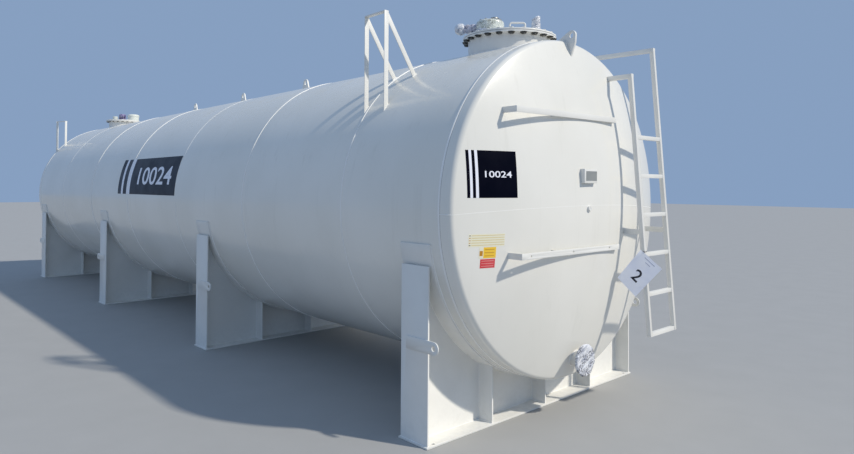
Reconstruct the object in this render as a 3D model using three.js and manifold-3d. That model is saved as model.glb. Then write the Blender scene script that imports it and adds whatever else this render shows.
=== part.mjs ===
// Horizontal storage tank for aviation fuel on four steel saddles.
// Millimetres, +Z up. +X is the tank's axis, out of the end that carries the ladder.
// The origin is on the ground, under the middle of the whole length.
import * as THREE from 'three';
import { mergeVertices } from 'three/addons/utils/BufferGeometryUtils.js';
import Module from 'manifold-3d';

const wasm = await Module();
wasm.setup();

// Driving dimensions of the tank
const shellRadius = 1250;
const plateThickness = 8;
const axisHeight = 1510;
const shellLength = 10500;
const firstCourseLength = 1050;
const courseCount = 7;
const nearSeamX = 5126;
const facetCount = 64;
const weldGap = 0.3;

// Dished ends
const flangeLength = 75;
const knuckleRadius = 40;
const crownRadius = 3600;
const knuckleSteps = 4;
const crownSteps = 5;

// Saddles
const saddleOffsets = [232, 3513, 6794, 10245];
const baseHalfWidth = 1250;
const baseDepth = 282;
const baseThickness = 12;
const stiffenerDepth = 262;
const steelThickness = 12;
const endPlateOuterFace = 1238;
const endPlateTop = 1156;
const padWidth = 288;
const padThickness = 12;
const padTop = 1298;
const lashingHeight = 84;
const lashingCentreZ = 648;
const lashingThickness = 8;
const lashingStart = -74;
const lashingReach = 231;
const lashingHoleRadius = 18;
const anchorHoleRadius = 13;
const anchorHoleX = 112;
const anchorHoleY = 1172;

// Manholes
const coverThickness = 15;
const collarThickness = 16;
const coverTop = 2881;
const nozzleFacets = 32;
const manholes = {
  near: { offset: 475, coverRadius: 376, neckRadius: 334 },
  far: { offset: 9936, coverRadius: 292, neckRadius: 246 },
};

// Drain outlet low on the near end
const outletHeight = 412;
const outletBore = 49;
const outletFaceX = 262;
const outletFlangeRadius = 112;
const outletFlangeThickness = 12;
const outletWrapThickness = 8;

// Ladder
const ladderTopX = 335.5;
const ladderLean = 0.082;
const ladderReferenceZ = 2600;
const stileDepth = 34;
const stileWidth = 27;
const handrailSize = 34;
const rungSize = 30;
const standoffZ = 1334;
const standoffHeight = 40;
const standoffThickness = 8;
const rungCount = 6;
const rungPitch = 298;
const firstRungZ = 568;
const leftStileY = 470;
const rightStileY = 850;
const leftReturnZ = 2529;
const rightReturnZ = 2787;
const handrailBackZ = 2803;
const handrailBackX = -420;

// Paper tag tied to the front edge of the left stile: corners are [across, up] from the knot
const tagThickness = 3;
const tagKnotZ = 1185;
const tagFacing = [0.558, -0.829, 0.0458];
const tagCorners = [[-196, -197], [-67, -334], [123, -122], [-28, 18]];

// Guard frames on the flanks: each leg's distance from the near seam and from the upright middle plane
const guardTieSection = 18;
const guardBraceFootZ = 2536;
const guardNear = { legs: [[850, 1000], [1090, 1000]], topZ: 2990, section: 40, braceY: 717 };
const guardFar = { legs: [[10297, 894], [10530, 980]], topZ: 2838, section: 35 };

const materials = {
  paint: { color: 0xe9e7df, roughness: 0.38, metalness: 0.0 },
  film: { color: 0xdfe3f2, roughness: 0.25, metalness: 0.0 },
  paper: { color: 0xe6e9f4, roughness: 0.8, metalness: 0.0 },
};

const tank = new THREE.Group();

function addPiece(name, geometry, finish = materials.paint) {
  const mesh = new THREE.Mesh(geometry, new THREE.MeshStandardMaterial(finish));
  mesh.name = name;
  tank.add(mesh);
}

function solidOf(geometry) {
  const bare = geometry.clone();
  bare.deleteAttribute('normal');
  bare.deleteAttribute('uv');
  const merged = mergeVertices(bare);
  return new wasm.Manifold(new wasm.Mesh({
    numProp: 3,
    vertProperties: merged.attributes.position.array,
    triVerts: Uint32Array.from(merged.index.array),
  }));
}

function geometryOf(solid) {
  const mesh = solid.getMesh();
  const geometry = new THREE.BufferGeometry();
  geometry.setAttribute('position', new THREE.BufferAttribute(mesh.vertProperties, 3));
  geometry.setIndex(new THREE.BufferAttribute(mesh.triVerts, 1));
  return geometry;
}

// One solid from several geometries or solids that overlap or touch
function joined(parts) {
  const solids = parts.map((part) => (part.isBufferGeometry ? solidOf(part) : part));
  return solids.reduce((sum, solid) => sum.add(solid));
}

// A block given by its lowest and highest corners
function block(x0, x1, y0, y1, z0, z1) {
  const geometry = new THREE.BoxGeometry(x1 - x0, y1 - y0, z1 - z0);
  return geometry.translate((x0 + x1) / 2, (y0 + y1) / 2, (z0 + z1) / 2);
}

// A straight bar between two points, width across and height up
function bar(from, to, width, height = width) {
  const start = new THREE.Vector3(...from);
  const end = new THREE.Vector3(...to);
  const along = end.clone().sub(start);
  const geometry = new THREE.BoxGeometry(along.length(), width, height);
  const forward = along.clone().normalize();
  const upHint = Math.abs(forward.z) > 0.9 ? new THREE.Vector3(1, 0, 0) : new THREE.Vector3(0, 0, 1);
  const side = new THREE.Vector3().crossVectors(upHint, forward).normalize();
  const up = new THREE.Vector3().crossVectors(forward, side);
  const middle = start.add(end).multiplyScalar(0.5);
  const turn = new THREE.Matrix4().makeBasis(forward, side, up).setPosition(middle);
  return geometry.applyMatrix4(turn);
}

// A round rod between two points
function rod(from, to, radius, sides = 12) {
  const start = new THREE.Vector3(...from);
  const end = new THREE.Vector3(...to);
  const along = end.clone().sub(start);
  const geometry = new THREE.CylinderGeometry(radius, radius, along.length(), sides);
  const turn = new THREE.Quaternion().setFromUnitVectors(new THREE.Vector3(0, 1, 0), along.normalize());
  const middle = start.add(end).multiplyScalar(0.5);
  return geometry.applyQuaternion(turn).translate(middle.x, middle.y, middle.z);
}

// Revolved about the tank's axis: profile points are [radius, x], closed or ending on the axis
function turnedOnAxis(profile, sides = facetCount) {
  const points = profile.map(([radius, x]) => new THREE.Vector2(radius, x));
  const geometry = new THREE.LatheGeometry(points, sides);
  return geometry.rotateZ(-Math.PI / 2).translate(0, 0, axisHeight);
}

// Revolved about an upright line: profile points are [radius, z]
function turnedUpright(profile, x, y, sides = nozzleFacets) {
  const points = profile.map(([radius, z]) => new THREE.Vector2(radius, z));
  const geometry = new THREE.LatheGeometry(points, sides);
  return geometry.rotateX(Math.PI / 2).translate(x, y, 0);
}

function ring(innerRadius, outerRadius, low, high) {
  return [[innerRadius, low], [outerRadius, low], [outerRadius, high], [innerRadius, high], [innerRadius, low]];
}

function disc(radius, low, high) {
  return [[0, low], [radius, low], [radius, high], [0, high]];
}

// Outer line of a dished end, from the seam to the axis, grown outwards by a clearance
function dishedLine(radius, knuckle, crown) {
  const knuckleCentre = radius - knuckle;
  const meetAngle = Math.asin(knuckleCentre / (crown - knuckle));
  const crownCentreX = flangeLength - (crown - knuckle) * Math.cos(meetAngle);
  const line = [[radius, 0], [radius, flangeLength]];
  for (let step = 1; step <= knuckleSteps; step += 1) {
    const angle = (Math.PI / 2 - meetAngle) * step / knuckleSteps;
    line.push([knuckleCentre + knuckle * Math.cos(angle), flangeLength + knuckle * Math.sin(angle)]);
  }
  for (let step = 1; step <= crownSteps; step += 1) {
    const angle = meetAngle * (1 - step / crownSteps);
    line.push([crown * Math.sin(angle), crownCentreX + crown * Math.cos(angle)]);
  }
  line[line.length - 1][0] = 0;
  return line;
}

const outerLine = dishedLine(shellRadius, knuckleRadius, crownRadius);
const innerLine = dishedLine(
  shellRadius - plateThickness,
  knuckleRadius - plateThickness,
  crownRadius - plateThickness,
);

// Solids that stand for the room the shell and the near end take up, for cutting what sits on them
const roomEnds = [nearSeamX - shellLength - flangeLength, nearSeamX + flangeLength];
const shellRoom = solidOf(turnedOnAxis(disc(shellRadius + weldGap, ...roomEnds)));
const headRoomLine = dishedLine(shellRadius + weldGap, knuckleRadius + weldGap, crownRadius + weldGap);
const headRoom = solidOf(turnedOnAxis([[0, 0], ...headRoomLine]).translate(nearSeamX, 0, 0));

function addEnds() {
  const head = turnedOnAxis([...outerLine, ...innerLine.reverse(), outerLine[0]]);
  const drain = rod([0, 0, outletHeight], [crownRadius / 10, 0, outletHeight], outletBore, 24);
  const drained = solidOf(head).subtract(solidOf(drain));
  const farHead = head.clone().rotateZ(Math.PI).translate(nearSeamX - shellLength, 0, 0);
  addPiece('head_near', geometryOf(drained).translate(nearSeamX, 0, 0));
  addPiece('head_far', farHead);
}

function addShell() {
  const courseLength = (shellLength - firstCourseLength) / (courseCount - 1);
  const bores = Object.values(manholes).map(({ offset, neckRadius }) => {
    const bore = disc(neckRadius - plateThickness, axisHeight, coverTop);
    return solidOf(turnedUpright(bore, nearSeamX - offset, 0));
  });
  let start = nearSeamX;
  for (let course = 1; course <= courseCount; course += 1) {
    const end = start - (course === 1 ? firstCourseLength : courseLength);
    const tube = turnedOnAxis(ring(shellRadius - plateThickness, shellRadius, end, start));
    const bore = { 1: bores[0], [courseCount]: bores[1] }[course];
    addPiece(`shell_course_${course}`, bore ? geometryOf(solidOf(tube).subtract(bore)) : tube);
    start = end;
  }
}

// Flat bar with a round eye, welded across the outer face of an end plate
function lashingBar(side, towards) {
  const half = lashingHeight / 2;
  const eyeX = lashingReach - half;
  const outline = new THREE.Shape();
  outline.moveTo(lashingStart, -half);
  outline.lineTo(eyeX, -half);
  outline.absarc(eyeX, 0, half, -Math.PI / 2, Math.PI / 2, false);
  outline.lineTo(lashingStart, half);
  const hole = new THREE.Path();
  hole.absarc(eyeX, 0, lashingHoleRadius, 0, Math.PI * 2, true);
  outline.holes.push(hole);
  const plate = new THREE.ExtrudeGeometry(outline, {
    depth: lashingThickness, bevelEnabled: false, curveSegments: 8,
  });
  plate.rotateX(Math.PI / 2).translate(0, lashingThickness / 2, lashingCentreZ);
  if (towards < 0) plate.rotateZ(Math.PI);
  return plate.translate(0, side * (endPlateOuterFace + lashingThickness / 2), 0);
}

function addSaddles() {
  const padInner = shellRadius + weldGap;
  const padOuter = padInner + padThickness;
  const half = stiffenerDepth / 2;
  const endInner = endPlateOuterFace - steelThickness;
  saddleOffsets.forEach((offset, index) => {
    const x = nearSeamX - offset;
    const saddle = index + 1;
    const towards = index < saddleOffsets.length / 2 ? 1 : -1;
    const steel = [
      block(-baseDepth / 2, baseDepth / 2, -baseHalfWidth, baseHalfWidth, 0, baseThickness),
      block(-steelThickness / 2, steelThickness / 2, -endInner, endInner, baseThickness, endPlateTop),
    ];
    for (const side of [-1, 1]) {
      const faces = [side * endInner, side * endPlateOuterFace].sort((a, b) => a - b);
      steel.push(block(-half, half, faces[0], faces[1], baseThickness, endPlateTop));
      steel.push(lashingBar(side, towards));
    }
    for (const ribY of [-endInner / 2, 0, endInner / 2]) {
      const low = ribY - steelThickness / 2;
      steel.push(block(-half, half, low, low + steelThickness, baseThickness, axisHeight - 900));
    }
    const anchors = [-1, 1].flatMap((back) => [-1, 1].map((side) => {
      const [holeX, holeY] = [back * anchorHoleX, side * anchorHoleY];
      return rod([holeX, holeY, -baseThickness], [holeX, holeY, 2 * baseThickness], anchorHoleRadius);
    }));
    const room = solidOf(turnedOnAxis(disc(padOuter + weldGap, -baseDepth, baseDepth)));
    const frame = joined(steel).subtract(room).subtract(joined(anchors));
    addPiece(`saddle_${saddle}`, geometryOf(frame).translate(x, 0, 0));

    const band = solidOf(turnedOnAxis(ring(padInner, padOuter, -padWidth / 2, padWidth / 2)));
    const below = solidOf(block(-baseDepth, baseDepth, -2 * shellRadius, 2 * shellRadius, 0, padTop));
    addPiece(`saddle_pad_${saddle}`, geometryOf(band.intersect(below)).translate(x, 0, 0));
  });
}

function addManholes() {
  const collarTop = coverTop - coverThickness;
  for (const [place, { offset, coverRadius, neckRadius }] of Object.entries(manholes)) {
    const x = nearSeamX - offset;
    const bore = neckRadius - plateThickness;
    const neck = [
      [bore, axisHeight + shellRadius / 2],
      [neckRadius, axisHeight + shellRadius / 2],
      [neckRadius, collarTop - collarThickness],
      [coverRadius, collarTop - collarThickness],
      [coverRadius, collarTop],
      [bore, collarTop],
      [bore, axisHeight + shellRadius / 2],
    ];
    const shaped = solidOf(turnedUpright(neck, x, 0)).subtract(shellRoom);
    addPiece(`manhole_${place}_neck`, geometryOf(shaped));
    addPiece(`manhole_${place}_cover`, turnedUpright(disc(coverRadius, collarTop, coverTop), x, 0));
  }
}

// What stands on the near cover: the filling valve, a lifting handle and a wrapped vent
function addCoverFittings() {
  const valveX = nearSeamX - 567;
  const valveY = -132;
  const bodyTop = coverTop + 133;
  const bodyLine = [
    [0, coverTop], [114, coverTop], [114, bodyTop - 30], [106, bodyTop - 9], [88, bodyTop], [0, bodyTop],
  ];
  const topCap = turnedUpright(disc(57, bodyTop - 4, bodyTop + 29), valveX + 25, valveY + 27, 24);
  const wrapBall = 49;
  const mouth = [nearSeamX - 789, -248, coverTop + 84];
  const branch = rod([valveX, valveY, mouth[2]], mouth, 36, 16);
  const ball = new THREE.SphereGeometry(wrapBall, 16, 12).translate(...mouth);
  const body = turnedUpright(bodyLine, valveX, valveY, 24);
  addPiece('filling_valve', geometryOf(joined([body, topCap, branch, ball])));

  const handleTop = coverTop + 78;
  const handleLine = new THREE.CurvePath();
  const corners = [
    [-330, -169, coverTop], [-330, -169, handleTop - 26], [-330, -169, handleTop - 8],
    [-318, -156, handleTop - 8], [-260, -94, handleTop - 8], [-248, -81, handleTop - 8],
    [-248, -81, handleTop - 26], [-248, -81, coverTop],
  ].map(([x, y, z]) => new THREE.Vector3(nearSeamX + x, y, z));
  handleLine.add(new THREE.LineCurve3(corners[0], corners[1]));
  handleLine.add(new THREE.QuadraticBezierCurve3(corners[1], corners[2], corners[3]));
  handleLine.add(new THREE.LineCurve3(corners[3], corners[4]));
  handleLine.add(new THREE.QuadraticBezierCurve3(corners[4], corners[5], corners[6]));
  handleLine.add(new THREE.LineCurve3(corners[6], corners[7]));
  const section = new THREE.Shape().absarc(0, 0, 8, 0, Math.PI * 2, false);
  addPiece('cover_handle', new THREE.ExtrudeGeometry(section, {
    steps: 32, curveSegments: 5, extrudePath: handleLine,
  }));

  const vent = [[0, coverTop], [38, coverTop], [38, 2970], [26, 3012], [0, 3012]];
  addPiece('vent_stub', turnedUpright(vent, nearSeamX - 205, 0, 16), materials.film);

  const farX = nearSeamX - manholes.far.offset;
  const farTop = coverTop + 128;
  const farBody = [
    [0, coverTop], [104, coverTop], [104, farTop - 30], [98, farTop - 18], [80, farTop - 4], [0, farTop],
  ];
  addPiece('far_valve', turnedUpright(farBody, farX + 90, 150, 24));
  const stub = [[0, coverTop], [66, coverTop], [66, 2990], [50, 3026], [0, 3026]];
  addPiece('far_pipe_stub', turnedUpright(stub, farX - 150, 30, 16), materials.film);
  const plug = [[0, coverTop], [46, coverTop], [46, 2955], [36, 2968], [0, 2968]];
  addPiece('far_cap', turnedUpright(plug, farX - 175, -92, 16));
}

// Flat plate lug in the tank's upright middle plane: outline points are [x, z]
function lugPlate(points, eye, holeRadius, thickness, y) {
  const outline = new THREE.Shape(points.map(([x, z]) => new THREE.Vector2(x, z)));
  const hole = new THREE.Path();
  hole.absarc(eye[0], eye[1], holeRadius, 0, Math.PI * 2, true);
  outline.holes.push(hole);
  const plate = new THREE.ExtrudeGeometry(outline, {
    depth: thickness, bevelEnabled: false, curveSegments: 6,
  });
  return plate.rotateX(Math.PI / 2).translate(0, y + thickness / 2, 0);
}

function roundedTop(eye, radius, sweep = 180, steps = 8) {
  const points = [];
  for (let step = 0; step <= steps; step += 1) {
    const angle = sweep * Math.PI / 180 * step / steps;
    points.push([eye[0] + radius * Math.cos(angle), eye[1] + radius * Math.sin(angle)]);
  }
  return points;
}

function addLugs() {
  const eye = [148, 2794];
  const outline = [[2, 2740], [130, 2600], [182, 2736], ...roundedTop(eye, 38, 119), [2, 2756]];
  const raw = solidOf(lugPlate(outline, eye, 20, 20, -30));
  const near = raw.translate([nearSeamX, 0, 0]).subtract(headRoom).subtract(shellRoom);
  addPiece('lifting_lug_near', geometryOf(near));
  const farX = nearSeamX - shellLength;
  const far = geometryOf(near).translate(-nearSeamX, 0, 0).rotateZ(Math.PI).translate(farX, 0, 0);
  addPiece('lifting_lug_far', far);

  [3533, 5081, 6631].forEach((offset, index) => {
    const top = [0, axisHeight + shellRadius + 105];
    const sides = [[-95, axisHeight + shellRadius - 40], [95, axisHeight + shellRadius - 40]];
    const plate = lugPlate([...sides, ...roundedTop(top, 46)], top, 22, 16, 0);
    const seated = solidOf(plate.translate(nearSeamX - offset, 0, 0)).subtract(shellRoom);
    addPiece(`top_lug_${index + 1}`, geometryOf(seated));
  });
}

function guardFrame({ legs, topZ, section, braceY }, side) {
  const inside = axisHeight + shellRadius / 2;
  const braceTop = topZ - section / 2;
  const braceRunIn = 60;
  const bars = legs.flatMap(([offset, footY]) => {
    const [x, y] = [nearSeamX - offset, side * footY];
    const leg = bar([x, y, inside], [x, y, topZ], section);
    if (!braceY) return [leg];
    const slope = (braceTop - guardBraceFootZ) / (footY - braceY);
    const foot = [x, side * (braceY - braceRunIn), guardBraceFootZ - braceRunIn * slope];
    return [leg, bar([x, y, braceTop], foot, section)];
  });
  const tieZ = topZ - guardTieSection / 2;
  const tieEnds = legs.map(([offset, footY]) => [nearSeamX - offset, side * footY, tieZ]);
  bars.push(bar(...tieEnds, section, guardTieSection));
  return geometryOf(joined(bars).subtract(shellRoom));
}

function addGuards() {
  for (const [word, side] of [['left', -1], ['right', 1]]) {
    addPiece(`guard_near_${word}`, guardFrame(guardNear, side));
    addPiece(`guard_far_${word}`, guardFrame(guardFar, side));
  }
}

function ladderX(z) {
  return nearSeamX + ladderTopX + (ladderReferenceZ - z) * ladderLean;
}

// A leaning tube from the lowest rung to its top
function stile(y, topZ) {
  const bottomZ = firstRungZ - rungSize / 2;
  return bar([ladderX(bottomZ), y, bottomZ], [ladderX(topZ), y, topZ], stileWidth, stileDepth);
}

function addLadder() {
  const half = handrailSize / 2;
  const handrailX = nearSeamX + handrailBackX;
  const tube = (from, to) => bar(from, to, handrailSize);
  const pieces = [
    stile(leftStileY, leftReturnZ + half),
    stile(rightStileY, rightReturnZ + half),
    tube([nearSeamX, leftStileY, leftReturnZ], [ladderX(leftReturnZ) + half, leftStileY, leftReturnZ]),
    tube([handrailX, rightStileY, handrailBackZ], [ladderX(rightReturnZ) + half, rightStileY, rightReturnZ]),
    tube([handrailX + half, rightStileY, axisHeight], [handrailX + half, rightStileY, handrailBackZ]),
  ];
  for (let rung = 0; rung < rungCount; rung += 1) {
    const z = firstRungZ + rung * rungPitch;
    const x = ladderX(z);
    pieces.push(bar([x, leftStileY, z], [x, rightStileY, z], rungSize));
  }
  const low = standoffZ - standoffHeight / 2;
  const backX = ladderX(standoffZ) - stileDepth / 4;
  for (const [y, away] of [[leftStileY, -1], [rightStileY, 1]]) {
    const middle = y + away * (stileWidth - standoffThickness) / 2;
    const faces = [middle - standoffThickness / 2, middle + standoffThickness / 2];
    pieces.push(block(nearSeamX + 100, backX, ...faces, low, low + standoffHeight));
  }
  addPiece('ladder', geometryOf(joined(pieces).subtract(headRoom).subtract(shellRoom)));
}

// Flat rail on stand-offs across the near end, between two ends given as [y, z]
function headRail(x, [leftY, leftZ], [rightY, rightZ], innerLegs) {
  const height = 40;
  const thickness = 8;
  const half = thickness / 2;
  const pieces = [bar([x - half, leftY, leftZ], [x - half, rightY, rightZ], thickness, height)];
  for (const y of [leftY + half, ...innerLegs, rightY - half]) {
    const z = leftZ + (rightZ - leftZ) * (y - leftY) / (rightY - leftY);
    pieces.push(block(nearSeamX + 60, x - half, y - half, y + half, z - height / 2, z + height / 2));
  }
  return geometryOf(joined(pieces).subtract(headRoom));
}

function addHeadFittings() {
  const upperX = nearSeamX + 285;
  const lowerX = nearSeamX + 333;
  addPiece('head_rail_upper', headRail(upperX, [-836, 2171], [358, 2184], [-407, -2]));
  addPiece('head_rail_lower', headRail(lowerX, [-836, 1226], [327, 1224], [-462, -72]));

  const plateX = nearSeamX + 350;
  const [plateLeft, plateRight, plateLow, plateHigh, sheet] = [-164, -6, 1699, 1800, 5];
  const carrier = joined([
    block(plateX - sheet, plateX, plateLeft, plateRight, plateLow, plateHigh),
    block(nearSeamX + 200, plateX, plateLeft, plateLeft + sheet, plateLow, plateHigh),
    block(nearSeamX + 200, plateX, plateRight - sheet, plateRight, plateLow, plateHigh),
  ]);
  addPiece('nameplate_bracket', geometryOf(carrier.subtract(headRoom)));
  const boss = solidOf(rod([nearSeamX + 200, -75, 1519], [nearSeamX + 341, -75, 1519], 20, 16));
  addPiece('earth_boss', geometryOf(boss.subtract(headRoom)));
}

function addTag() {
  const facing = new THREE.Vector3(...tagFacing).normalize();
  const across = new THREE.Vector3(0, 0, 1).cross(facing).normalize();
  const up = new THREE.Vector3().crossVectors(facing, across);
  const edge = [ladderX(tagKnotZ) + stileDepth / 2, leftStileY - stileWidth / 2, tagKnotZ];
  const knot = new THREE.Vector3(...edge).addScaledVector(facing, weldGap);
  const outline = new THREE.Shape(tagCorners.map(([x, y]) => new THREE.Vector2(x, y)));
  const sheet = new THREE.ExtrudeGeometry(outline, { depth: tagThickness, bevelEnabled: false });
  const place = new THREE.Matrix4().makeBasis(across, up, facing).setPosition(knot);
  addPiece('paper_tag', sheet.applyMatrix4(place), materials.paper);
}

function addOutlet() {
  const faceX = nearSeamX + outletFaceX;
  const collarX = faceX - outletWrapThickness;
  const along = (radius, low, high, sides) => rod([low, 0, outletHeight], [high, 0, outletHeight], radius, sides);
  const pipe = solidOf(along(outletBore + plateThickness, nearSeamX + 100, collarX, 24));
  const collar = solidOf(along(outletFlangeRadius, collarX - outletFlangeThickness, collarX, 32));
  const bore = solidOf(along(outletBore, nearSeamX, faceX, 24));
  addPiece('outlet_nozzle', geometryOf(pipe.add(collar).subtract(bore).subtract(headRoom)));
  addPiece('outlet_cover', along(outletFlangeRadius, collarX, faceX, 32), materials.film);
}

addShell();
addEnds();
addSaddles();
addManholes();
addCoverFittings();
addLugs();
addGuards();
addLadder();
addTag();
addHeadFittings();
addOutlet();

export default tank;
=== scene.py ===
from functools import partialmethod
from math import asin, atan2, cos, exp, hypot, pi, radians, sin, sqrt

import bmesh
import bpy
from mathutils import Matrix, Vector, noise


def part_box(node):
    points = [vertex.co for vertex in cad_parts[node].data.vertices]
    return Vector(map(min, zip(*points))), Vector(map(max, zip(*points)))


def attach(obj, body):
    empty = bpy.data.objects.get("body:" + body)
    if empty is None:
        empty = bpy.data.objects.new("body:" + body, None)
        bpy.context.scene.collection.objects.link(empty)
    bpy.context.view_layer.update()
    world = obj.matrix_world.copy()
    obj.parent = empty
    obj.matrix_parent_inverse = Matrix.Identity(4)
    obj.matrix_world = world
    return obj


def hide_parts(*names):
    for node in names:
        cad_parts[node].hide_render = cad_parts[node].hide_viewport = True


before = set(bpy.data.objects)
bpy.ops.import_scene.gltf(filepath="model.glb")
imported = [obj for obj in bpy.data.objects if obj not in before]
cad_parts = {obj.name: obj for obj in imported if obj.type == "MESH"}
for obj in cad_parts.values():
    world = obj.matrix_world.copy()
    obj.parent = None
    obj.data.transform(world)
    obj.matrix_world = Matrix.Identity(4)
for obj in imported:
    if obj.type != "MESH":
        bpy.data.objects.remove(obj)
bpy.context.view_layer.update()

# Sizes of the tank in metres, read off its solids
COURSES = [f"shell_course_{number}" for number in range(1, 8)]
SEAMS = [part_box(COURSES[0])[1].x] + [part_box(course)[0].x for course in COURSES]
NEAR_SEAM, FAR_SEAM = SEAMS[0], SEAMS[-1]
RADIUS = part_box(COURSES[1])[1].y
AXIS_Z = (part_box(COURSES[1])[0].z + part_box(COURSES[1])[1].z) / 2
PLATE = 0.008
FLANGE, KNUCKLE, CROWN = 0.075, 0.040, 3.6
KNUCKLE_CENTRE = RADIUS - KNUCKLE
KNUCKLE_TURN = asin(KNUCKLE_CENTRE / (CROWN - KNUCKLE))
CROWN_CENTRE = FLANGE - (CROWN - KNUCKLE) * cos(KNUCKLE_TURN)
ROUND_STEPS = 192

# Smaller sizes that the solids share out among several pieces, in metres
NECK_RADII = {"near": 0.334, "far": 0.246}
COLLAR_THICKNESS = 0.016
COVER_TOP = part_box("manhole_near_cover")[1].z
BOLT_TURN = radians(-2.7)
PAD_RADIUS = (RADIUS + 0.0003, RADIUS + 0.0123)
BASE_THICKNESS = STEEL = 0.012
SADDLE_HALF_DEPTH, PAD_HALF_DEPTH = 0.131, 0.144
END_PLATE_INNER, END_PLATE_OUTER, END_PLATE_TOP = 1.226, 1.238, 1.156
RIB_TOP = 0.61
OUTLET_HEIGHT, DRAIN_BORE = 0.412, 0.049
END_WELD_HEIGHT, END_WELD_SAG = 1.5405, 0.030
WELD_DRAW_IN, WALL_RIPPLE = 0.0012, 0.0006

# Fittings on the near cover, as places seen from above
VALVE_PLACE, BRANCH_MOUTH = (NEAR_SEAM - 0.567, -0.132), (NEAR_SEAM - 0.789, -0.248)
HANDLE_FEET, VENT_X = [(NEAR_SEAM - 0.330, -0.169), (NEAR_SEAM - 0.248, -0.081)], NEAR_SEAM - 0.205

# Guard frames: the legs as (distance from the near seam, distance from the middle), the bars' widths
# and thickness, and where the braces of the near frames stand
NEAR_GUARD, NEAR_GUARD_WIDTH = ((0.850, 1.0), (1.090, 1.0)), 0.040
FAR_GUARD, FAR_GUARD_WIDTH = ((10.297, 0.894), (10.530, 0.980)), 0.035
BRACE_Y, BRACE_FOOT_Z, GUARD_PLATE = 0.717, 2.536, 0.006

# Places of the labels: widths across the end or along the flank, heights or angles above the axis
END_PANEL, END_PANEL_HEIGHTS = (-1.058, -0.771), (1.599, 1.900)
END_STRIPES = [(-1.138, -1.117), (-1.099, -1.078)]
SIDE_PANEL = (NEAR_SEAM - 5.699, NEAR_SEAM - 4.230)
SIDE_PANEL_ANGLES = (radians(1.8), radians(22.9))
SIDE_STRIPES = [(NEAR_SEAM - 6.149, NEAR_SEAM - 6.024), (NEAR_SEAM - 5.953, NEAR_SEAM - 5.822)]
LINED_STICKER, LINED_STICKER_HEIGHTS = (-1.127, -0.868), (1.292, 1.372)
YELLOW_STICKER, YELLOW_HEIGHTS = (-1.019, -0.929), (1.219, 1.288)
RED_STICKER, RED_HEIGHTS = (-1.038, -0.932), (1.156, 1.213)
LABEL_FIGURES = "10024"
TAG_FIGURE = "2"

# How far the sheets and their print stand off the plate
UNDERLAY, PANEL_LIFT, STICKER_LIFT, FIGURE_LIFT, PRINT_LIFT = 0.0003, 0.0006, 0.0008, 0.0010, 0.0011
SHEET = 0.0006

# The tag hangs from a knot on the left stile's front edge; its corners are (across, up) from the knot
STILE_Y, STILE_WIDTH, STILE_DEPTH = 0.470, 0.027, 0.034
TAG_KNOT_Z = 1.185
STILE_X = NEAR_SEAM + 0.3355 + (2.6 - TAG_KNOT_Z) * 0.082
TAG_KNOT = Vector((STILE_X + STILE_DEPTH / 2, STILE_Y - STILE_WIDTH / 2, TAG_KNOT_Z))
TAG_FACING = Vector((0.558, -0.829, 0.0458)).normalized()
TAG_CORNERS = [(-0.196, -0.197), (-0.067, -0.334), (-0.028, 0.018), (0.123, -0.122)]
TAG_WIDTH, TAG_HEIGHT = 0.189, 0.281

# The photograph's camera: its place, its heading, and its lens for an image 854 pixels wide
CAMERA_PLACE = Vector((NEAR_SEAM + 2.8674, -4.0173, 1.67))
CAMERA_YAW, CAMERA_PITCH, CAMERA_ROLL = 0.8214, 0.0132, 0.006
IMAGE_WIDTH, IMAGE_HEIGHT = 854, 454
FOCAL_PIXELS, OPTICAL_CENTRE_ROW = 637.36, 177.93
SENSOR_WIDTH = 36.0

# The light: a lamp as narrow as the sun, from the right of the near end, and an even sky
SUN_DIRECTION, SUN_WIDTH = Vector((0.675, 0.325, 0.662)), radians(2)
SUN_STRENGTH, SUN_TINT = 2.95, (1.0, 0.93, 0.81)
SKY_STRENGTH, SKY_TINT = 0.53, (0.46, 0.66, 1.0, 1)


def placed(name, data):
    """A new object in the scene."""
    made = bpy.data.objects.new(name, data)
    bpy.context.scene.collection.objects.link(made)
    return made


def mesh_of(name, shape):
    """A mesh from a shape of faces or lines, which is used up."""
    mesh = bpy.data.meshes.new(name)
    shape.to_mesh(mesh)
    shape.free()
    return mesh


def set_camera():
    camera = bpy.data.cameras.new("photo_camera")
    camera.sensor_width = SENSOR_WIDTH
    camera.lens = FOCAL_PIXELS / IMAGE_WIDTH * SENSOR_WIDTH
    camera.shift_y = (OPTICAL_CENTRE_ROW - IMAGE_HEIGHT / 2) / IMAGE_WIDTH
    camera.clip_start, camera.clip_end = 0.05, 300
    turns = [(CAMERA_YAW, "Z"), (pi / 2 + CAMERA_PITCH, "X"), (CAMERA_ROLL, "Z")]
    heading, lift, roll = [Matrix.Rotation(angle, 4, axis) for angle, axis in turns]
    stand = placed("photo_camera", camera)
    stand.matrix_world = Matrix.Translation(CAMERA_PLACE) @ heading @ lift @ roll
    bpy.context.scene.camera = stand


def linear(colour):
    """A plain red, green and blue, 0 to 255 as a screen shows them, as the values that a shader takes."""
    if not isinstance(colour, tuple):
        return colour
    shares = [channel / 255 for channel in colour]
    return (*[s / 12.92 if s <= 0.04045 else ((s + 0.055) / 1.055) ** 2.4 for s in shares], 1.0)


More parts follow.
